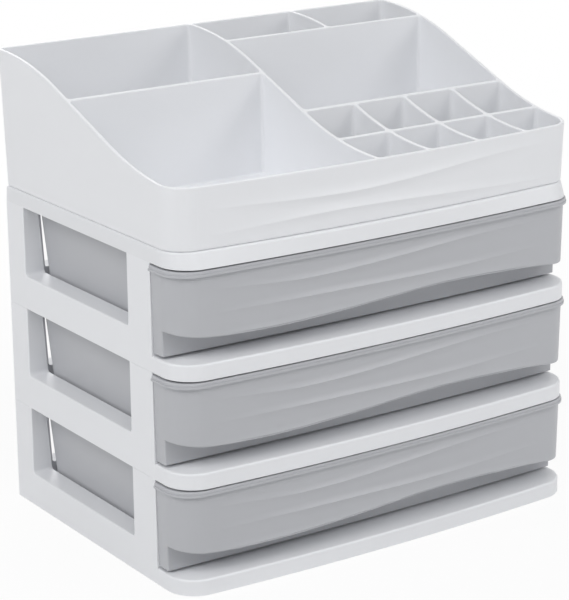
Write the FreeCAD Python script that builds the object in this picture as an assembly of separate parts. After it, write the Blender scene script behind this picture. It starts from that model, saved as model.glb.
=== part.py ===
import FreeCAD, Part
import math
import os

from FreeCAD import Vector

# Makeup organizer in millimetres: an open tray with compartments on a cover plate,
# over three stacked frames that each hold one pull-out drawer.
# X runs across the front, +Y to the back and +Z up. The origin is at the middle of the
# whole object's footprint, on the surface that it stands on. The drawers are shut.

# Driving sizes of the stack
frame_width = 275.0
overall_depth = 198.0
layer_pitch = 61.7
layer_names = ["bottom", "middle", "top"]
shelf_height = 9.4
cover_height = 9.0
tray_back_height = 81.5
tray_front_height = 35.0

# Plan shape of a shelf rim
rim_bow_radius = 1750.0
rim_corner_radius = 18.5
back_corner_radius = 4.0
rim_edge_radius = 1.2
base_edge_radius = 0.25

# Frame: side walls, posts and windows
frame_skin = 2.3
post_front_setback = 32.4
wall_top_thickness = 9.6
wall_foot_thickness = 13.4
bay_corner_radius = 10.0
sill_height = 20.3
front_post_depth = 24.6
rear_post_depth = 22.9
back_post_width = 18.0
window_corner_radius = 2.0
window_edge_radius = 0.7
rib_thickness = 1.6
rib_height = 2.0
rib_rows = 3
rib_columns = 4
boss_height = 2.5
boss_clearance = 0.6
boss_end_margin = 4.0
boss_thickness = 4.6

# Cover plate under the tray
cover_top_side_inset = 0.4
cover_top_front_inset = 1.6
cover_top_bow_radius = 1250.0
cover_edge_radius = 1.5
ridge_height = 1.6
ridge_thickness = 2.0
ridge_clearance = 0.4

# Tray
tray_wall = 2.0
tray_floor = 2.2
tray_foot_height = 2.4
tray_foot_side_inset = 0.8
tray_foot_front_inset = 3.2
tray_foot_edge_radius = 1.1
tray_flare = 2.2
tray_bow_radius = 1450.0
tray_corner_radius = 16.0
tray_back_corner_radius = 5.0
divider_thickness = 1.9
divider_draft = 0.5
cell_corner_radius = 2.0
tray_rim_radius = 0.7
sweep_start_setback = 2.0
sweep_top_radius = 188.0
sweep_foot_radius = 188.0
sweep_angle = math.radians(21.0)

# Dividers of the tray: places measured from the middle and from the back face
main_divider_x = -7.5
left_cross_setback = 81.0
back_cross_setback = 41.8
middle_cross_setback = 122.0
grid_cross_setback = 156.3
back_split_x = 66.6
grid_columns = 4

# Drawer
drawer_wall = 2.0
drawer_top_gap = 1.0
runner_gap = 0.2
runner_height = 1.5
runner_width = 6.0
runner_inset = 12.0
runner_end_margin = 16.0
side_gap = 1.4
rear_gap = 6.6
bin_corner_radius = 10.0
bin_floor_radius = 3.0
bin_inner_floor_radius = 1.5
head_post_gap = 0.3
head_side_inset = 0.3
head_front_setback = 2.3
head_bow_radius = 2000.0
head_corner_radius = 16.0
head_draft = 0.8
head_overlap = 3.0
recess_side = 9.0
recess_bow = 3.0
recess_edge_radius = 0.8
wave_lowest = 11.6
wave_rise = 5.2
wave_edge_radius = 0.9
lip_height = 3.2
lip_proud = 1.7
lip_step_height = 1.9
lip_step = 0.4
lip_edge_radius = 0.7
drawer_rim_radius = 0.5

# The wavy lower edge of a drawer's head, from left to right: shares of half the frame's
# width, and shares of the rise above the lowest point
wave_edge_shares = [
    (-1.03, 1.08),
    (-0.95, 0.69),
    (-0.83, 0.28),
    (-0.70, 0.12),
    (-0.55, 0.07),
    (-0.32, 0.25),
    (-0.04, 0.65),
    (0.22, 0.99),
    (0.45, 0.94),
    (0.62, 0.73),
    (0.80, 0.44),
    (0.93, 0.10),
    (1.03, 0.00),
]

# How far a cut runs past the shape that it cuts, the least radius that is still drawn, and
# how near two places are that count as one
overrun = 5.0
least_radius = 0.3
touching = 0.1

# Edges are told apart by these: a smooth seam turns less than the seam angle, a rim's top
# face is at least as level as the steepest rim, and a wall leans less than the steepest draft
seam_angle = math.radians(20)
steepest_rim = math.radians(37)
steepest_draft = math.radians(23)
upright_angle = math.radians(15)

# Places that follow from the sizes above
half_width = frame_width / 2
back_y = overall_depth / 2
rim_front_y = -overall_depth / 2
post_front_y = rim_front_y + post_front_setback
cover_z = len(layer_names) * layer_pitch
tray_z = cover_z + cover_height


def point(x, y, z):
    return Vector(x, y, z)


def block(x0, x1, y0, y1, z0, z1):
    """Box between two corners."""
    return Part.makeBox(x1 - x0, y1 - y0, z1 - z0, point(x0, y0, z0))


def line(a, b):
    return Part.LineSegment(a, b).toShape()


def corner_arc(start, end, centre):
    """Arc from start to end about centre, the short way round."""
    radius = (start - centre).Length
    bisector = (start - centre).normalize() + (end - centre).normalize()
    middle = centre + bisector.normalize() * radius
    return Part.Arc(start, middle, end).toShape()


def plate_outline(side_x, rear_y, front_y, bow_radius, corner_radius, rear_radius, z):
    """Closed outline seen from above: straight back and sides, rounded front corners, bowed front."""
    rear_radius = max(rear_radius, least_radius)
    bow_centre_y = front_y + bow_radius
    corner_x = side_x - corner_radius
    reach = bow_radius - corner_radius
    corner_y = bow_centre_y - math.sqrt(reach ** 2 - corner_x ** 2)
    bow_end_x = corner_x * bow_radius / reach
    bow_end_y = bow_centre_y + (corner_y - bow_centre_y) * bow_radius / reach
    rear_x = side_x - rear_radius
    rear_side_y = rear_y - rear_radius
    edges = [
        line(point(rear_x, rear_y, z), point(-rear_x, rear_y, z)),
        corner_arc(point(-rear_x, rear_y, z), point(-side_x, rear_side_y, z), point(-rear_x, rear_side_y, z)),
        line(point(-side_x, rear_side_y, z), point(-side_x, corner_y, z)),
        corner_arc(point(-side_x, corner_y, z), point(-bow_end_x, bow_end_y, z), point(-corner_x, corner_y, z)),
        Part.Arc(point(-bow_end_x, bow_end_y, z), point(0, front_y, z), point(bow_end_x, bow_end_y, z)).toShape(),
        corner_arc(point(bow_end_x, bow_end_y, z), point(side_x, corner_y, z), point(corner_x, corner_y, z)),
        line(point(side_x, corner_y, z), point(side_x, rear_side_y, z)),
        corner_arc(point(side_x, rear_side_y, z), point(rear_x, rear_y, z), point(rear_x, rear_side_y, z)),
    ]
    return Part.Wire(edges)


def rim_outline(inset, z):
    """A shelf's outline, moved inwards by inset."""
    return plate_outline(
        half_width - inset,
        back_y - inset,
        rim_front_y + inset,
        rim_bow_radius - inset,
        rim_corner_radius - inset,
        back_corner_radius - inset,
        z,
    )


def between(low_outline, high_outline):
    """Solid with straight sides from one outline up to another."""
    return Part.makeLoft([low_outline, high_outline], True, True)


def prism(outline, height):
    return Part.Face(outline).extrude(point(0, 0, height))


def edges_where(shape, test):
    """Edges of shape whose middle point passes the test."""
    found = []
    for edge in shape.Edges:
        middle = edge.valueAt((edge.FirstParameter + edge.LastParameter) / 2)
        if test(edge, middle):
            found.append(edge)
    return found


def close_to(a, b):
    return abs(a - b) < touching


def upright(edge):
    """True for an edge that runs mostly up and down."""
    return edge.BoundBox.ZLength > edge.Length * math.cos(upright_angle)


def rounded_cut(x0, x1, y0, y1, z0, z1, radius, along_y):
    """Box that cuts a window, with its two lower long edges rounded."""
    shape = block(x0, x1, y0, y1, z0, z1)

    def lower_side(edge, middle):
        if not close_to(middle.z, z0):
            return False
        if along_y:
            return close_to(middle.x, x0) or close_to(middle.x, x1)
        return close_to(middle.y, y0) or close_to(middle.y, y1)

    return shape.makeFillet(radius, edges_where(shape, lower_side))


def bay_outline(side_x, rear_y, radius, z):
    """Open-front bay between the side walls, run past the front."""
    front = rim_front_y - overrun
    return Part.Wire([
        line(point(side_x, front, z), point(side_x, rear_y - radius, z)),
        corner_arc(
            point(side_x, rear_y - radius, z),
            point(side_x - radius, rear_y, z),
            point(side_x - radius, rear_y - radius, z),
        ),
        line(point(side_x - radius, rear_y, z), point(radius - side_x, rear_y, z)),
        corner_arc(
            point(radius - side_x, rear_y, z),
            point(-side_x, rear_y - radius, z),
            point(radius - side_x, rear_y - radius, z),
        ),
        line(point(-side_x, rear_y - radius, z), point(-side_x, front, z)),
        line(point(-side_x, front, z), point(side_x, front, z)),
    ])


def wall_thickness_at(height):
    """Thickness of a frame's wall at a height above its shelf: thicker towards the foot."""
    share = height / (layer_pitch - shelf_height)
    return wall_foot_thickness + (wall_top_thickness - wall_foot_thickness) * share


def frame_form(inset):
    """Full form of a frame, or with an inset the space inside its skin, which is open below."""
    foot = -overrun if inset else 0
    shelf_top = shelf_height - inset
    top = layer_pitch - inset
    form = prism(rim_outline(inset, foot), top - foot)
    if not inset:
        form = round_rim(form)
    low_z = shelf_top
    high_z = layer_pitch + overrun
    low_wall = wall_thickness_at(low_z - shelf_height) - inset
    high_wall = wall_thickness_at(high_z - shelf_height) - inset
    bay = between(
        bay_outline(half_width - low_wall, back_y - low_wall, bay_corner_radius, low_z),
        bay_outline(half_width - high_wall, back_y - high_wall, bay_corner_radius, high_z),
    )
    front_clear = block(
        -half_width - overrun,
        half_width + overrun,
        rim_front_y - overrun,
        post_front_y + inset,
        shelf_top,
        high_z,
    )
    side_window = rounded_cut(
        -half_width - overrun,
        half_width + overrun,
        post_front_y + front_post_depth - inset,
        back_y - rear_post_depth + inset,
        sill_height - inset,
        high_z,
        window_corner_radius,
        False,
    )
    back_window = rounded_cut(
        -half_width + back_post_width - inset,
        half_width - back_post_width + inset,
        back_y - wall_foot_thickness - bay_corner_radius,
        back_y + overrun,
        sill_height - inset,
        high_z,
        window_corner_radius,
        True,
    )
    return form.cut([bay, front_clear, side_window, back_window])


def round_rim(form):
    """Rounds the foot of a frame's outline a little."""
    return form.makeFillet(base_edge_radius, edges_where(form, lambda edge, middle: close_to(middle.z, 0)))


def round_shelf_edge(frame):
    """Rounds the front edge of the shelf, from post to post."""

    def on_front_edge(edge, middle):
        across = close_to(edge.BoundBox.YMin, edge.BoundBox.YMax)
        return close_to(middle.z, shelf_height) and middle.y < post_front_y and not across

    return frame.makeFillet(rim_edge_radius, edges_where(frame, on_front_edge))


def round_windows(frame):
    """Rounds the outer edges of the window openings."""

    def on_window(edge, middle):
        in_height = sill_height - least_radius < middle.z < layer_pitch - least_radius
        side_face = close_to(abs(middle.x), half_width)
        in_side = post_front_y + front_post_depth - least_radius < middle.y < back_y - rear_post_depth + least_radius
        back_face = close_to(middle.y, back_y)
        in_back = abs(middle.x) < half_width - back_post_width + least_radius
        return in_height and ((side_face and in_side) or (back_face and in_back))

    return frame.makeFillet(window_edge_radius, edges_where(frame, on_window))


def shelf_ribs():
    """Low ribs under a shelf, across and along, that stop at its rim."""
    z1 = shelf_height - frame_skin
    z0 = z1 - rib_height
    room_x = frame_width - frame_skin * 2
    room_y = overall_depth - frame_skin * 2
    ribs = []
    for row in range(rib_rows):
        y = back_y - frame_skin - room_y * (row + 1) / (rib_rows + 1)
        ribs.append(block(-half_width, half_width, y - rib_thickness / 2, y + rib_thickness / 2, z0, z1))
    for column in range(rib_columns):
        x = -half_width + frame_skin + room_x * (column + 1) / (rib_columns + 1)
        ribs.append(block(x - rib_thickness / 2, x + rib_thickness / 2, rim_front_y, back_y, z0, z1))
    joined = ribs[0].fuse(ribs[1:])
    inside = prism(rim_outline(frame_skin / 2, z0), rib_height)
    walls = block(-half_width, half_width, post_front_y, back_y, z0, z1).cut(
        block(
            wall_foot_thickness - half_width,
            half_width - wall_foot_thickness,
            post_front_y,
            back_y - wall_foot_thickness,
            z0,
            z1,
        )
    )
    hollow_walls = walls.common(prism(rim_outline(frame_skin, z0), rib_height))
    return joined.common(inside).cut(hollow_walls)


def locating_bosses(z):
    """Four low bosses on the post tops, which sit just inside the rim of the piece above."""
    x0 = half_width - frame_skin - boss_clearance - boss_thickness
    x1 = half_width - frame_skin - boss_clearance
    spans = [
        (post_front_y + boss_end_margin, post_front_y + front_post_depth - boss_end_margin),
        (back_y - rear_post_depth + boss_end_margin, back_y - boss_end_margin),
    ]
    bosses = []
    for y0, y1 in spans:
        for side in (-1, 1):
            low_x = min(side * x0, side * x1)
            high_x = max(side * x0, side * x1)
            boss = block(low_x, high_x, y0, y1, z - least_radius, z + boss_height)
            top_edges = edges_where(boss, lambda edge, middle: close_to(middle.z, z + boss_height))
            bosses.append(boss.makeChamfer(least_radius, top_edges))
    return bosses


def build_frame():
    """One drawer frame with its foot at height zero."""
    outside = round_windows(round_shelf_edge(frame_form(0)))
    shell = outside.cut(frame_form(frame_skin))
    return shell.fuse([shelf_ribs()] + locating_bosses(layer_pitch)).removeSplitter()


def cover_outline(inset, share, z):
    """The cover's outline at a share of its height: it draws in towards the top."""
    return plate_outline(
        half_width - cover_top_side_inset * share - inset,
        back_y - cover_top_side_inset * share - inset,
        rim_front_y + cover_top_front_inset * share + inset,
        rim_bow_radius + (cover_top_bow_radius - rim_bow_radius) * share - inset,
        rim_corner_radius - inset,
        back_corner_radius - inset,
        z,
    )


def tray_outline(inset, share, z):
    """The tray's outline at a share of its height: it spreads towards the top."""
    flare = tray_flare * share
    return plate_outline(
        half_width - tray_foot_side_inset + flare - inset,
        back_y - tray_foot_side_inset * (1 - share) - inset,
        rim_front_y + tray_foot_front_inset - flare + inset,
        tray_bow_radius + flare - inset,
        tray_corner_radius - inset,
        tray_back_corner_radius - inset,
        z,
    )


def build_cover():
    """Cover plate, hollow below, with a ridge on top that centres the tray."""
    outside = between(cover_outline(0, 0, 0), cover_outline(0, 1, cover_height))
    outside = outside.makeFillet(
        cover_edge_radius,
        edges_where(outside, lambda edge, middle: close_to(middle.z, cover_height)),
    )
    inner_top = cover_height - frame_skin
    inside = between(
        cover_outline(frame_skin, -overrun / cover_height, -overrun),
        cover_outline(frame_skin, inner_top / cover_height, inner_top),
    )
    ridge_inset = tray_wall + ridge_clearance
    ridge = prism(tray_outline(ridge_inset, 0, cover_height - least_radius), ridge_height + least_radius)
    ridge_room = prism(
        tray_outline(ridge_inset + ridge_thickness, 0, cover_height - least_radius),
        ridge_height + overrun,
    )
    return outside.cut(inside).fuse(ridge.cut(ridge_room)).removeSplitter()


def sweep_profile():
    """Side view of the tray's top edge: high at the back, swept down to the low front, as a face."""
    start_y = back_y - sweep_start_setback
    high = tray_back_height
    low = tray_front_height
    drop = high - low
    arc_drop = (sweep_top_radius + sweep_foot_radius) * (1 - math.cos(sweep_angle))
    slope_length = (drop - arc_drop) / math.sin(sweep_angle)

    def on_top_arc(angle):
        y = start_y - sweep_top_radius * math.sin(angle)
        return point(0, y, high - sweep_top_radius * (1 - math.cos(angle)))

    slope_start = on_top_arc(sweep_angle)
    slope_step = point(0, -math.cos(sweep_angle), -math.sin(sweep_angle))
    slope_end = slope_start + slope_step * slope_length
    foot_y = slope_end.y - sweep_foot_radius * math.sin(sweep_angle)

    def on_foot_arc(angle):
        y = foot_y + sweep_foot_radius * math.sin(angle)
        return point(0, y, low + sweep_foot_radius * (1 - math.cos(angle)))

    rear = point(0, back_y + overrun, high)
    front = point(0, rim_front_y - overrun, low)
    edges = [
        line(rear, on_top_arc(0)),
        Part.Arc(on_top_arc(0), on_top_arc(sweep_angle / 2), slope_start).toShape(),
        line(slope_start, slope_end),
        Part.Arc(slope_end, on_foot_arc(sweep_angle / 2), on_foot_arc(0)).toShape(),
        line(on_foot_arc(0), front),
        line(front, point(0, front.y, -overrun)),
        line(point(0, front.y, -overrun), point(0, rear.y, -overrun)),
        line(point(0, rear.y, -overrun), rear),
    ]
    return Part.Face(Part.Wire(edges))


def tray_cells():
    """Plan of the compartments: left, right, front and back limits, on the dividers' middle lines."""
    left = -half_width - overrun
    right = half_width + overrun
    front = rim_front_y - overrun
    back = back_y + overrun
    left_cross = back_y - left_cross_setback
    back_cross = back_y - back_cross_setback
    middle_cross = back_y - middle_cross_setback
    grid_cross = back_y - grid_cross_setback
    cells = [
        (left, main_divider_x, left_cross, back),
        (left, main_divider_x, front, left_cross),
        (main_divider_x, back_split_x, back_cross, back),
        (back_split_x, right, back_cross, back),
        (main_divider_x, right, middle_cross, back_cross),
    ]
    grid_right = half_width - tray_wall
    step = (grid_right - main_divider_x) / grid_columns
    for column in range(grid_columns):
        x0 = main_divider_x + step * column
        x1 = right if column == grid_columns - 1 else x0 + step
        cells.append((x0, x1, grid_cross, middle_cross))
        cells.append((x0, x1, front, grid_cross))
    return cells


def rectangle(x0, x1, y0, y1, z):
    corners = [point(x0, y0, z), point(x1, y0, z), point(x1, y1, z), point(x0, y1, z)]
    return Part.makePolygon(corners + corners[:1])


def cell_space(cell, room, floor_z):
    """One compartment: its walls lean back a little towards the top, and its corners are rounded."""
    x0, x1, y0, y1 = cell
    low_gap = divider_thickness / 2 + divider_draft
    high_gap = divider_thickness / 2
    tall = between(
        rectangle(x0 + low_gap, x1 - low_gap, y0 + low_gap, y1 - low_gap, floor_z - overrun),
        rectangle(x0 + high_gap, x1 - high_gap, y0 + high_gap, y1 - high_gap, tray_back_height + overrun),
    )
    space = tall.common(room)
    corners = edges_where(space, lambda edge, middle: upright(edge) and sharp_corner(space, edge))
    space = space.makeFillet(cell_corner_radius, corners)
    floor_edges = edges_where(space, lambda edge, middle: close_to(middle.z, floor_z))
    return space.makeFillet(cell_corner_radius / 2, floor_edges)


def faces_by_edge(shape):
    """The faces beside each edge of a shape."""
    beside = {}
    for face in shape.Faces:
        for edge in face.Edges:
            beside.setdefault(edge.hashCode(), []).append(face)
    return beside


def normals_beside(edge, faces):
    """Directions in which the faces beside an edge look, at the edge's middle."""
    middle = edge.valueAt((edge.FirstParameter + edge.LastParameter) / 2)
    return [face.normalAt(*face.Surface.parameter(middle)) for face in faces]


def sharp_corner(space, edge):
    """True where the two faces beside an edge meet at a real corner, not at a smooth seam."""
    first, second = normals_beside(edge, faces_by_edge(space)[edge.hashCode()])
    return abs(first.dot(second)) < math.cos(seam_angle)


def round_rims(shape, radius, in_range):
    """Rounds the edges between the faces on top of the walls and the walls' sides."""
    beside = faces_by_edge(shape)

    def on_rim(edge, middle):
        faces = beside[edge.hashCode()]
        if len(faces) < 2 or not in_range(middle):
            return False
        slopes = [abs(normal.z) for normal in normals_beside(edge, faces)]
        return max(slopes) > math.sin(steepest_rim) and min(slopes) < math.sin(steepest_draft)

    return shape.makeFillet(radius, edges_where(shape, on_rim))


def build_tray():
    """Tray with its compartments, at height zero."""
    outside = between(tray_outline(0, 0, 0), tray_outline(0, 1, tray_back_height))
    outside = outside.makeFillet(
        tray_foot_edge_radius,
        edges_where(outside, lambda edge, middle: close_to(middle.z, 0)),
    )
    profile = sweep_profile()
    profile.translate(point(-half_width - overrun, 0, 0))
    swept = profile.extrude(point(frame_width + overrun * 2, 0, 0))
    form = outside.common(swept)
    foot_room = prism(tray_outline(tray_wall, 0, -overrun), overrun + tray_foot_height)
    floor_z = tray_foot_height + tray_floor
    top_z = tray_back_height + overrun
    room = between(tray_outline(tray_wall, floor_z / tray_back_height, floor_z), tray_outline(tray_wall, 1, top_z))
    spaces = [cell_space(cell, room, floor_z) for cell in tray_cells()]
    tray = form.cut([foot_room] + spaces)
    return round_rims(tray, tray_rim_radius, lambda middle: middle.z > tray_front_height - least_radius)


def drawer_floor_z():
    """Height of a drawer's underside above its frame's foot."""
    return shelf_height + runner_gap + runner_height


def bin_outline(inset, z):
    """Plan of the drawer's box at a height: it follows the frame's walls and tucks into the head."""
    wall = wall_thickness_at(z - shelf_height)
    side_x = half_width - wall - side_gap - inset
    rear_y = back_y - wall - rear_gap - inset
    front_y = post_front_y - head_post_gap - head_overlap
    radius = bin_corner_radius - inset
    return Part.Wire([
        line(point(side_x, front_y, z), point(side_x, rear_y - radius, z)),
        corner_arc(
            point(side_x, rear_y - radius, z),
            point(side_x - radius, rear_y, z),
            point(side_x - radius, rear_y - radius, z),
        ),
        line(point(side_x - radius, rear_y, z), point(radius - side_x, rear_y, z)),
        corner_arc(
            point(radius - side_x, rear_y, z),
            point(-side_x, rear_y - radius, z),
            point(radius - side_x, rear_y - radius, z),
        ),
        line(point(-side_x, rear_y - radius, z), point(-side_x, front_y, z)),
        line(point(-side_x, front_y, z), point(side_x, front_y, z)),
    ])


def head_outline(inset, draft, z):
    """Plan of the drawer's head, from well behind it to its bowed front."""
    return plate_outline(
        half_width - head_side_inset - inset - draft,
        back_y,
        rim_front_y + head_front_setback + inset + draft,
        head_bow_radius - inset - draft,
        head_corner_radius - inset,
        least_radius,
        z,
    )


def wave_height(share):
    """Height of the head's lower edge above the frame's foot, for a share of the rise."""
    return shelf_height + wave_lowest + wave_rise * share


def above_wave(inset, top):
    """Block over the wavy lower edge of the head."""
    near_y = rim_front_y - overrun
    ends = [point(x * half_width, near_y, wave_height(rise) + inset) for x, rise in wave_edge_shares]
    curve = Part.BSplineCurve()
    curve.interpolate(ends)
    face = Part.Face(Part.Wire([
        curve.toShape(),
        line(ends[-1], point(ends[-1].x, near_y, top)),
        line(point(ends[-1].x, near_y, top), point(ends[0].x, near_y, top)),
        line(point(ends[0].x, near_y, top), ends[0]),
    ]))
    return face.extrude(point(0, post_front_y - near_y, 0))


def recess_wall_y():
    """Front of the wall behind the finger recess, at the two ends of its bow."""
    return post_front_y - head_post_gap - recess_side


def drawer_form(inset):
    """Full form of a drawer, or with an inset the space inside its walls, which is open above."""
    foot = drawer_floor_z() + inset
    rim = layer_pitch - drawer_top_gap
    top = rim + overrun if inset else rim
    box = between(bin_outline(inset, foot), bin_outline(inset, top))
    floor_radius = bin_inner_floor_radius if inset else bin_floor_radius
    front = post_front_y - head_post_gap - head_overlap
    box = box.makeFillet(
        floor_radius,
        edges_where(box, lambda edge, middle: close_to(middle.z, foot) and middle.y > front + least_radius),
    )
    head_back = post_front_y - head_post_gap - inset
    skin = between(head_outline(inset, head_draft, foot), head_outline(inset, 0, rim))
    if inset:
        skin = skin.fuse(prism(head_outline(inset, 0, rim), top - rim))
    side_x = half_width + overrun
    in_front = block(-side_x, side_x, rim_front_y - overrun, head_back, foot, top)
    skin = skin.common(in_front)
    upper = skin.common(above_wave(inset, top))
    lower = skin.common(recess_backing(inset, foot, top))
    if not inset:
        upper = round_wave_edge(upper)
        lower = round_recess_edge(lower)
    return box.fuse([upper, lower])


def recess_backing(inset, foot, top):
    """Block behind the finger recess, with a front that is bowed like the head."""
    end_y = recess_wall_y() + inset
    side_x = half_width + overrun
    face = Part.Face(Part.Wire([
        Part.Arc(point(-side_x, end_y, foot), point(0, end_y - recess_bow, foot), point(side_x, end_y, foot)).toShape(),
        line(point(side_x, end_y, foot), point(side_x, back_y, foot)),
        line(point(side_x, back_y, foot), point(-side_x, back_y, foot)),
        line(point(-side_x, back_y, foot), point(-side_x, end_y, foot)),
    ]))
    return face.extrude(point(0, 0, top - foot))


def round_wave_edge(upper):
    """Curls the lower edge of the head under."""
    low = wave_height(0) - least_radius
    high = wave_height(1) + least_radius

    def on_wave(edge, middle):
        return low < middle.z < high and middle.y < recess_wall_y() and not upright(edge)

    return upper.makeFillet(wave_edge_radius, edges_where(upper, on_wave))


def round_recess_edge(lower):
    """Rounds the two upright edges beside the recess."""

    def beside_recess(edge, middle):
        return upright(edge) and middle.y < recess_wall_y()

    return lower.makeFillet(recess_edge_radius, edges_where(lower, beside_recess))


def head_lip():
    """Band round the top of the head, in two steps, with a rounded upper edge."""
    rim = layer_pitch - drawer_top_gap
    foot = rim - lip_height
    step_z = rim - lip_step_height
    head_back = post_front_y - head_post_gap
    side_x = half_width + overrun
    band = prism(head_outline(-lip_proud, 0, foot), step_z - foot)
    bead = prism(head_outline(lip_step - lip_proud, 0, step_z), lip_step_height)
    bead = bead.makeFillet(lip_edge_radius, edges_where(bead, lambda edge, middle: close_to(middle.z, rim)))
    in_front = block(-side_x, side_x, rim_front_y - overrun, head_back, foot, rim)
    return band.fuse(bead).common(in_front)


def runners():
    """Two low runners under the drawer that slide on the shelf."""
    z0 = shelf_height + runner_gap
    z1 = drawer_floor_z() + drawer_wall / 2
    outer_x = half_width - wall_foot_thickness - side_gap - runner_inset
    y0 = post_front_y - head_post_gap + runner_end_margin
    y1 = back_y - wall_foot_thickness - rear_gap - runner_end_margin
    found = []
    for side in (-1, 1):
        x0 = min(side * outer_x, side * (outer_x - runner_width))
        found.append(block(x0, x0 + runner_width, y0, y1, z0, z1))
    return found


def build_drawer():
    """One drawer, shut, in a frame whose foot is at height zero."""
    outside = drawer_form(0).fuse([head_lip()] + runners())
    drawer = outside.cut(drawer_form(drawer_wall)).removeSplitter()
    rim = layer_pitch - drawer_top_gap
    return round_rims(drawer, drawer_rim_radius, lambda middle: close_to(middle.z, rim) and not on_lip(middle))


def on_lip(middle):
    """True for the outer edge of the lip's top, which is rounded already."""
    front_y = rim_front_y + head_front_setback + drawer_wall / 2
    outside_bow = middle.y < front_y + middle.x ** 2 / (head_bow_radius * 2)
    beside_head = middle.y < post_front_y - head_post_gap
    return beside_head and (outside_bow or abs(middle.x) > half_width - head_side_inset - drawer_wall / 2)


def save(shape, name):
    """Writes one piece and says whether it is one sound solid."""
    box = shape.optimalBoundingBox()
    print(name, len(shape.Solids), shape.isValid(), round(shape.Volume), box)
    shape.exportStep("parts/" + name + ".step")


def raised(shape, height):
    moved = shape.copy()
    moved.translate(point(0, 0, height))
    return moved


os.makedirs("parts", exist_ok=True)
frame_piece = build_frame()
drawer_piece = build_drawer()
for layer, name in enumerate(layer_names):
    save(raised(frame_piece, layer * layer_pitch), "drawer_frame_" + name)
    save(raised(drawer_piece, layer * layer_pitch), "drawer_" + name)
save(raised(build_cover(), cover_z), "top_cover")
save(raised(build_tray(), tray_z), "top_tray")
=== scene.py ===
import math
from collections import namedtuple

import bpy
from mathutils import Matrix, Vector


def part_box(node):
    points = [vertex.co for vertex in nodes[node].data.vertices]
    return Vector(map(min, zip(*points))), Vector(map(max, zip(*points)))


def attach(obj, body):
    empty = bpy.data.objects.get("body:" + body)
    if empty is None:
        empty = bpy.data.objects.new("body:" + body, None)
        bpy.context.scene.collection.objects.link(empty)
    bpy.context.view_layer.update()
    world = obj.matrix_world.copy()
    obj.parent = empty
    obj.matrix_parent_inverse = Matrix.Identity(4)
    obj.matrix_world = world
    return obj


# Makeup organizer in metres: satin plastic on the mouldings that the frame brings, and the
# shallow wave relief on the fronts of the tray and of the drawers as closed skins over them.
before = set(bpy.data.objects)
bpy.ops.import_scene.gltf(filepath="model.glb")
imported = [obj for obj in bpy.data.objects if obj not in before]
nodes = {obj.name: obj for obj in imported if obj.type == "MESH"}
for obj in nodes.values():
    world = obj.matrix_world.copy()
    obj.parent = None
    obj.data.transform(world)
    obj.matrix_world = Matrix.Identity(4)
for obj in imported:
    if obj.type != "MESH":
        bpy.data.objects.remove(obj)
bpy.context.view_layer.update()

MM = 0.001

# The camera stands where a fit to the photograph's corners puts it
camera_place = (-0.73071, -1.07016, 0.52154)
camera_turn = (74.4063, 0.555, -34.2723)
camera_lens = 136.979
camera_shift_y = -0.1

# Colours as linear values
white_colour = (0.85, 0.86, 0.883)
# The cover's white is a little darker than the other mouldings: painted shade that takes back the
# extra light its backward-leaning front catches
cover_painted_shade_colour = (0.81, 0.82, 0.842)
grey_colour = (0.500, 0.508, 0.532)
floor_colour = (0.86, 0.86, 0.86)
world_light_colour = (0.985, 0.99, 1.0)

# Plastic: roughness and its spread, and how far the colour drifts
white_roughness = 0.40
white_drift = 0.006
grey_roughness = 0.42
grey_drift = 0.008
roughness_spread = 0.05

# Scale and detail of the noise behind the drift, the roughness, the spark-eroded grain and the
# unevenness from the mould, and how strong and how high the last two stand
drift_noise = (22.0, 3.0)
roughness_noise = (70.0, 4.0)
grain_noise = (2400.0, 2.0)
grain_strength = 0.25
grain_height = 0.06 * MM
uneven_noise = (14.0, 1.0)
uneven_strength = 0.5
uneven_height = 0.6 * MM

# Soft boxes round the object: name, place and power
lamp_size = 1.4
lamp_aim = (0.0, 0.0, 0.1)
lamps = (
    ("key_light", (-1.9, -0.4, 1.7), 23.0),
    ("front_light", (-0.3, -1.7, 2.1), 12.5),
    ("fill_light", (1.5, -1.6, 1.3), 14.5),
    ("rear_light", (0.6, 2.0, 1.3), 16.0),
)
world_strength = 0.31

# The floor shows the shadow near the object and goes over into plain white farther away
floor_half = 8.0
floor_below = 0.2 * MM
floor_near_white = 0.92
shadow_near = 0.25
shadow_far = 0.9

# Drawer head, as the frame holds it: heights are measured from the foot of the drawer's own layer
head_front_setback = 2.3 * MM
head_side_inset = 0.3 * MM
head_bow_radius = 2000 * MM
head_corner_radius = 16 * MM
head_draft = 0.8 * MM
head_foot_height = 11.1 * MM
lip_height = 3.2 * MM
wave_edge_radius = 0.9 * MM

# Faces of the wavy edge look down at least this far, and its points differ in these digits
wave_edge_normal_limit = -0.94
wave_edge_digits = 5

# Tray front
tray_foot_side_inset = 0.8 * MM
tray_foot_front_inset = 3.2 * MM
tray_foot_edge_radius = 1.1 * MM
tray_flare = 2.2 * MM
tray_bow_radius = 1450 * MM
tray_corner_radius = 16 * MM
tray_front_height = 35 * MM
tray_rim_radius = 0.7 * MM

# Skins: how far they stand off the moulding where they are flat, how deep their back and their
# borders lie in it, over what length their ends sink in, and how finely they are divided
skin_rise = 0.03 * MM
border_depth = 0.06 * MM
back_depth = 0.8 * MM
end_length = 14 * MM
skin_step = 1.3 * MM
row_total = 72
curl_rows = 8
smooth_angle = math.radians(40)

# A ridge of the relief: its path as shares of the half width and heights there, the shares
# between which it fades in and out, how far it stands proud, and the heights above and below it
# over which the surface comes forward and falls back again.
Ridge = namedtuple("Ridge", "path fade_in_shares fade_out_shares proud rise drop")

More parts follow.
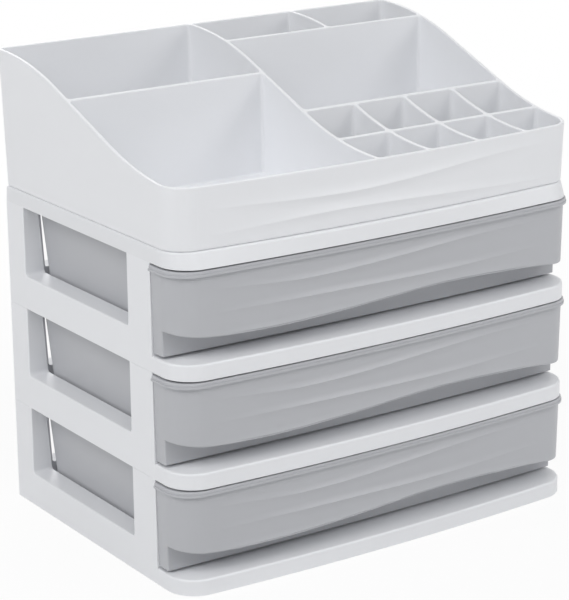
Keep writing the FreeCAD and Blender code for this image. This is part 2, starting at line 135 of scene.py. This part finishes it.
drawer_proud = 1.3 * MM
drawer_rise = 3.6 * MM
drawer_drop = 5.2 * MM
drawer_ridges = [
    Ridge(path, (-0.92, -0.20), (0.00, 0.93), drawer_proud, drawer_rise, drawer_drop)
    for path in (
        [(-0.85, 49.0 * MM), (-0.42, 46.3 * MM), (0.60, 51.7 * MM)],
        [(-0.35, 35.8 * MM), (0.30, 34.9 * MM), (0.80, 36.0 * MM)],
    )
]
tray_proud = 1.1 * MM
tray_rise = 6.0 * MM
tray_drop = 5.2 * MM
tray_ridges = [
    Ridge(path, (-0.95, -0.20), (0.05, 1.02), tray_proud, tray_rise, tray_drop)
    for path in (
        [(-0.90, 21.8 * MM), (-0.22, 19.4 * MM), (0.75, 26.2 * MM)],
        [(-0.95, 7.4 * MM), (-0.25, 10.4 * MM), (0.98, 5.0 * MM)],
    )
]
edge_fade_shares = (0.60, 0.84)
edge_proud = 0.5 * MM
drawer_skin_shares = (-0.87, 0.87)
tray_skin_shares = (-0.86, 1.02)


def smooth_step(low, high, value):
    """0 below low, 1 above high, and an S between them."""
    way = min(max((value - low) / (high - low), 0.0), 1.0)
    return way * way * (3 - 2 * way)


def ridge_height(ridge, share):
    """Height of a ridge at a share of the half width, with a smooth bend at each of its points."""
    height = ridge.path[0][1]
    for (low, from_height), (high, to_height) in zip(ridge.path, ridge.path[1:]):
        height += (to_height - from_height) * smooth_step(low, high, share)
    return height


def ridge_proud(ridge, share):
    """How far a ridge stands proud at a share of the half width."""
    fade_in = smooth_step(*ridge.fade_in_shares, share)
    fade_out = 1 - smooth_step(*ridge.fade_out_shares, share)
    return ridge.proud * (fade_in * fade_out)


def crests_at(ridges, foot, share):
    """Height over the foot, proudness, rise and drop of each ridge at a share of the half width."""
    crests = []
    for ridge in ridges:
        height = foot + ridge_height(ridge, share)
        crests.append((height, ridge_proud(ridge, share), ridge.rise, ridge.drop))
    return crests


def relief(height, crests, top, foot):
    """How proud the front stands at a height: crests are (height, proud, rise, drop)."""
    proud = 0.0
    for crest, amount, rise, drop in crests:
        reach = min(rise, top - crest) if height > crest else min(drop, crest - foot)
        if reach > 0:
            proud += amount * max(0.0, 1 - abs(height - crest) / reach) ** 2
    return proud


def plan_place(along, side_x, front_y, bow_radius, corner_radius):
    """Point and outward direction on a bowed front with round corners, seen from above.
    along is measured from the middle of the front, to the right."""
    side = math.copysign(1.0, along)
    length = abs(along)
    corner_x = side_x - corner_radius
    bow_centre_y = front_y + bow_radius
    turn_end = math.asin(corner_x / (bow_radius - corner_radius))
    corner_y = bow_centre_y - (bow_radius - corner_radius) * math.cos(turn_end)
    bow_length = bow_radius * turn_end
    corner_length = corner_radius * (math.pi / 2 - turn_end)
    if length <= bow_length:
        turn = length / bow_radius
        x = bow_radius * math.sin(turn)
        y = bow_centre_y - bow_radius * math.cos(turn)
    elif length <= bow_length + corner_length:
        turn = turn_end + (length - bow_length) / corner_radius
        x = corner_x + corner_radius * math.sin(turn)
        y = corner_y - corner_radius * math.cos(turn)
    else:
        turn = math.pi / 2
        x = side_x
        y = corner_y + length - bow_length - corner_length
    return side * x, y, side * math.sin(turn), -math.cos(turn)


def sunk_rise(along, start, end):
    """How far a skin stands off the moulding: its two ends sink in smoothly."""
    inside = min(along - start, end - along)
    return -border_depth + (border_depth + skin_rise) * smooth_step(0.0, end_length, inside)


def closed_sweep(name, sections, plastic):
    """Closed smooth piece through sections, which are closed loops of as many points each."""
    count = len(sections[0])
    points = [point for section in sections for point in section]
    faces = []
    for row in range(len(sections) - 1):
        for column in range(count):
            here = row * count + column
            beside = row * count + (column + 1) % count
            faces.append((here, beside, beside + count, here + count))
    last = (len(sections) - 1) * count
    faces.append(tuple(range(count))[::-1])
    faces.append(tuple(range(last, last + count)))
    mesh = bpy.data.meshes.new(name)
    mesh.from_pydata(points, [], faces)
    mesh.validate()
    for face in mesh.polygons:
        face.use_smooth = True
    mesh.set_sharp_from_angle(angle=smooth_angle)
    mesh.materials.append(plastic)
    piece = bpy.data.objects.new(name, mesh)
    bpy.context.scene.collection.objects.link(piece)
    return piece


def make_wave_edge(node, front_y):
    """Lower edge of a drawer's head as a function of x, read from the faces that look down."""
    mesh = node.data
    low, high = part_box(node.name)
    middle = (low.z + high.z) / 2
    found = {}
    for face in mesh.polygons:
        near_front = face.center.y < front_y + head_corner_radius / 2
        looks_down = face.normal.z < wave_edge_normal_limit
        if near_front and looks_down and low.z + lip_height < face.center.z < middle:
            for index in face.vertices:
                place = mesh.vertices[index].co
                x = round(place.x, wave_edge_digits)
                found[x] = min(place.z, found.get(x, high.z))
    places = sorted(found.items())

    def edge(x):
        for (x0, z0), (x1, z1) in zip(places, places[1:]):
            if x0 <= x <= x1:
                return z0 + (z1 - z0) * (x - x0) / (x1 - x0)
        return places[0][1] if x < places[0][0] else places[-1][1]

    return edge


def steps(start, end, step):
    """Evenly spaced values from start to end, about step apart."""
    count = max(2, round(abs(end - start) / step))
    return [start + (end - start) * index / count for index in range(count + 1)]


def drawer_skin(layer, foot, rim, half_width, rim_front_y, plastic):
    """Skin over a drawer's head: its ridges, and the curl of the wavy lower edge."""
    front_y = rim_front_y + head_front_setback
    wave_edge = make_wave_edge(nodes["drawer_" + layer], front_y)
    top = rim - lip_height
    sections = []
    start, end = [share * half_width for share in drawer_skin_shares]
    for along in steps(start, end, skin_step):
        share = along / half_width
        rise = sunk_rise(along, start, end)

        def place(outward, z):
            """Point at a distance in front of the head's leaning face."""
            draft = head_draft * (rim - z) / (rim - foot - head_foot_height)
            x, y, nx, ny = plan_place(
                along,
                half_width - head_side_inset - draft,
                front_y + draft,
                head_bow_radius - draft,
                head_corner_radius,
            )
            return x + nx * outward, y + ny * outward, z

        x_here = place(0, top)[0]
        edge_z = wave_edge(x_here)
        curl_z = edge_z + wave_edge_radius
        crests = crests_at(drawer_ridges, foot, share)
        edge_here = edge_proud * (1 - smooth_step(*edge_fade_shares, abs(share)))
        crests.append((curl_z, edge_here, drawer_rise, drawer_drop))
        section = [place(-border_depth, top + skin_rise)]
        for row in range(row_total + 1):
            z = top - skin_rise + (curl_z - top + skin_rise) * row / row_total
            section.append(place(rise + relief(z, crests, top, curl_z), z))
        curl_radius = wave_edge_radius + rise + edge_here
        for row in range(1, curl_rows + 1):
            turn = math.pi / 2 * row / curl_rows
            outward = curl_radius * math.cos(turn) - wave_edge_radius
            section.append(place(outward, curl_z - (wave_edge_radius + rise) * math.sin(turn)))
        section.append(place(-wave_edge_radius - border_depth, edge_z + border_depth))
        section.append(place(-back_depth - border_depth, curl_z))
        section.append(place(-back_depth, top + skin_rise))
        sections.append(section)
    piece = closed_sweep("drawer_" + layer + "_front_relief", sections, plastic)
    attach(piece, layer + "_drawer")


def tray_skin(half_width, rim_front_y, plastic):
    """Skin over the tray's front with its two long ridges."""
    low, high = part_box("top_tray")
    top = tray_front_height - tray_rim_radius
    foot = tray_foot_edge_radius + skin_rise
    sections = []
    start, end = [share * half_width for share in tray_skin_shares]
    for along in steps(start, end, skin_step):
        rise = sunk_rise(along, start, end)

        def place(outward, height):
            """Point at a distance in front of the tray's flared wall."""
            flare = tray_flare * height / (high.z - low.z)
            x, y, nx, ny = plan_place(
                along,
                half_width - tray_foot_side_inset + flare,
                rim_front_y + tray_foot_front_inset - flare,
                tray_bow_radius + flare,
                tray_corner_radius,
            )
            return x + nx * outward, y + ny * outward, low.z + height

        share = place(0, 0)[0] / half_width
        crests = crests_at(tray_ridges, 0.0, share)
        section = [place(-border_depth, top + skin_rise)]
        for row in range(row_total + 1):
            height = top - skin_rise - (top - skin_rise * 2 - foot) * row / row_total
            section.append(place(rise + relief(height, crests, top, foot), height))
        section.append(place(-border_depth, foot))
        section.append(place(-back_depth, foot))
        section.append(place(-back_depth, top + skin_rise))
        sections.append(section)
    piece = closed_sweep("tray_front_relief", sections, plastic)
    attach(piece, "housing")


def noise(tree, coordinates, scale, detail):
    """Output of a noise texture with a scale and a detail."""
    node = tree.nodes.new("ShaderNodeTexNoise")
    node.inputs["Scale"].default_value = scale
    node.inputs["Detail"].default_value = detail
    tree.links.new(coordinates, node.inputs["Vector"])
    return node.outputs["Fac"]


def bump(tree, height, strength, distance):
    """Bump node on a height."""
    node = tree.nodes.new("ShaderNodeBump")
    node.inputs["Strength"].default_value = strength
    node.inputs["Distance"].default_value = distance
    tree.links.new(height, node.inputs["Height"])
    return node


def moulded_plastic(name, colour, roughness, drift):
    """Satin moulded plastic: a fine spark-eroded grain, a faint unevenness from the mould,
    and a little drift in colour and roughness."""
    material = bpy.data.materials.new(name)
    material.use_nodes = True
    tree = material.node_tree
    shader = tree.nodes["Principled BSDF"]
    coordinates = tree.nodes.new("ShaderNodeTexCoord").outputs["Object"]

    tint = tree.nodes.new("ShaderNodeMix")
    tint.data_type = "RGBA"
    tint.inputs["A"].default_value = (*[value * (1 - drift) for value in colour], 1.0)
    tint.inputs["B"].default_value = (*[value * (1 + drift) for value in colour], 1.0)
    tree.links.new(noise(tree, coordinates, *drift_noise), tint.inputs["Factor"])
    tree.links.new(tint.outputs["Result"], shader.inputs["Base Color"])

    gloss = tree.nodes.new("ShaderNodeMapRange")
    gloss.inputs["To Min"].default_value = roughness - roughness_spread
    gloss.inputs["To Max"].default_value = roughness + roughness_spread
    tree.links.new(noise(tree, coordinates, *roughness_noise), gloss.inputs["Value"])
    tree.links.new(gloss.outputs["Result"], shader.inputs["Roughness"])

    grain = bump(tree, noise(tree, coordinates, *grain_noise), grain_strength, grain_height)
    uneven = bump(tree, noise(tree, coordinates, *uneven_noise), uneven_strength, uneven_height)
    tree.links.new(grain.outputs["Normal"], uneven.inputs["Normal"])
    tree.links.new(uneven.outputs["Normal"], shader.inputs["Normal"])
    return material


def camera_like_rays(tree):
    """1 for rays that see the background: from the camera, a mirror or glass."""
    path = tree.nodes.new("ShaderNodeLightPath")
    first = tree.nodes.new("ShaderNodeMath")
    first.operation = "MAXIMUM"
    tree.links.new(path.outputs["Is Camera Ray"], first.inputs[0])
    tree.links.new(path.outputs["Is Glossy Ray"], first.inputs[1])
    both = tree.nodes.new("ShaderNodeMath")
    both.operation = "MAXIMUM"
    tree.links.new(first.outputs[0], both.inputs[0])
    tree.links.new(path.outputs["Is Transmission Ray"], both.inputs[1])
    return both.outputs[0]


def make_world():
    """White to the eye, and a plain soft light on the object."""
    world = bpy.data.worlds.new("studio")
    bpy.context.scene.world = world
    world.use_nodes = True
    tree = world.node_tree
    tree.nodes.clear()
    seen = tree.nodes.new("ShaderNodeBackground")
    seen.inputs["Color"].default_value = (1.0, 1.0, 1.0, 1.0)
    seen.inputs["Strength"].default_value = 1.0
    light = tree.nodes.new("ShaderNodeBackground")
    light.inputs["Color"].default_value = (*world_light_colour, 1.0)
    light.inputs["Strength"].default_value = world_strength
    mix = tree.nodes.new("ShaderNodeMixShader")
    out = tree.nodes.new("ShaderNodeOutputWorld")
    tree.links.new(camera_like_rays(tree), mix.inputs["Fac"])
    tree.links.new(light.outputs[0], mix.inputs[1])
    tree.links.new(seen.outputs[0], mix.inputs[2])
    tree.links.new(mix.outputs[0], out.inputs["Surface"])


def make_floor():
    """Pale floor that keeps a soft shadow and is white elsewhere."""
    mesh = bpy.data.meshes.new("floor")
    signs = ((-1, -1), (1, -1), (1, 1), (-1, 1))
    corners = [(x * floor_half, y * floor_half, -floor_below) for x, y in signs]
    mesh.from_pydata(corners, [], [(0, 1, 2, 3)])
    floor = bpy.data.objects.new("floor", mesh)
    bpy.context.scene.collection.objects.link(floor)
    material = bpy.data.materials.new("floor_white")
    material.use_nodes = True
    tree = material.node_tree
    tree.nodes.clear()
    matt = tree.nodes.new("ShaderNodeBsdfDiffuse")
    matt.inputs["Color"].default_value = (*floor_colour, 1.0)
    white = tree.nodes.new("ShaderNodeEmission")
    white.inputs["Strength"].default_value = 1.0
    distance = tree.nodes.new("ShaderNodeVectorMath")
    distance.operation = "LENGTH"
    tree.links.new(tree.nodes.new("ShaderNodeTexCoord").outputs["Object"], distance.inputs[0])
    fade = tree.nodes.new("ShaderNodeMapRange")
    fade.interpolation_type = "SMOOTHSTEP"
    fade.inputs["From Min"].default_value = shadow_near
    fade.inputs["From Max"].default_value = shadow_far
    fade.inputs["To Min"].default_value = floor_near_white
    fade.inputs["To Max"].default_value = 1.0
    tree.links.new(distance.outputs["Value"], fade.inputs["Value"])
    share = tree.nodes.new("ShaderNodeMath")
    share.operation = "MULTIPLY"
    tree.links.new(fade.outputs["Result"], share.inputs[1])
    mix = tree.nodes.new("ShaderNodeMixShader")
    out = tree.nodes.new("ShaderNodeOutputMaterial")
    tree.links.new(camera_like_rays(tree), share.inputs[0])
    tree.links.new(share.outputs[0], mix.inputs["Fac"])
    tree.links.new(matt.outputs[0], mix.inputs[1])
    tree.links.new(white.outputs[0], mix.inputs[2])
    tree.links.new(mix.outputs[0], out.inputs["Surface"])
    mesh.materials.append(material)


def soft_light(name, place, power):
    """Square soft box at a place, turned to the object."""
    direction = Vector(lamp_aim) - Vector(place)
    lamp = bpy.data.lights.new(name, "AREA")
    lamp.shape = "SQUARE"
    lamp.size = lamp_size
    lamp.energy = power
    holder = bpy.data.objects.new(name, lamp)
    holder.location = place
    holder.rotation_euler = direction.to_track_quat("-Z", "Y").to_euler()
    bpy.context.scene.collection.objects.link(holder)


def make_camera():
    """Camera of the photograph's view."""
    data = bpy.data.cameras.new("camera")
    data.lens = camera_lens
    data.shift_y = camera_shift_y
    camera = bpy.data.objects.new("camera", data)
    camera.location = camera_place
    camera.rotation_euler = [math.radians(angle) for angle in camera_turn]
    bpy.context.scene.collection.objects.link(camera)
    bpy.context.scene.camera = camera


white_plastic = moulded_plastic("white_satin_plastic", white_colour, white_roughness, white_drift)
grey_plastic = moulded_plastic("grey_satin_plastic", grey_colour, grey_roughness, grey_drift)
# The cover gets its own darker white, painted shade for its front, which leans back and catches
# more light
cover_painted_shade_plastic = moulded_plastic("cover_satin_plastic_painted_shade", cover_painted_shade_colour, white_roughness, white_drift)
for name, node in nodes.items():
    is_drawer = name.startswith("drawer_") and not name.startswith("drawer_frame")
    white = cover_painted_shade_plastic if name == "top_cover" else white_plastic
    node.material_slots[0].material = grey_plastic if is_drawer else white

frame_low, frame_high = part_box("drawer_frame_bottom")
half_width = frame_high.x
rim_front_y = frame_low.y
for layer in ("bottom", "middle", "top"):
    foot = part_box("drawer_frame_" + layer)[0].z
    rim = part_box("drawer_" + layer)[1].z
    drawer_skin(layer, foot, rim, half_width, rim_front_y, grey_plastic)
tray_skin(half_width, rim_front_y, white_plastic)

make_world()
make_floor()
for name, place, power in lamps:
    soft_light(name, place, power)
make_camera()

bpy.context.scene.view_settings.view_transform = "Standard"
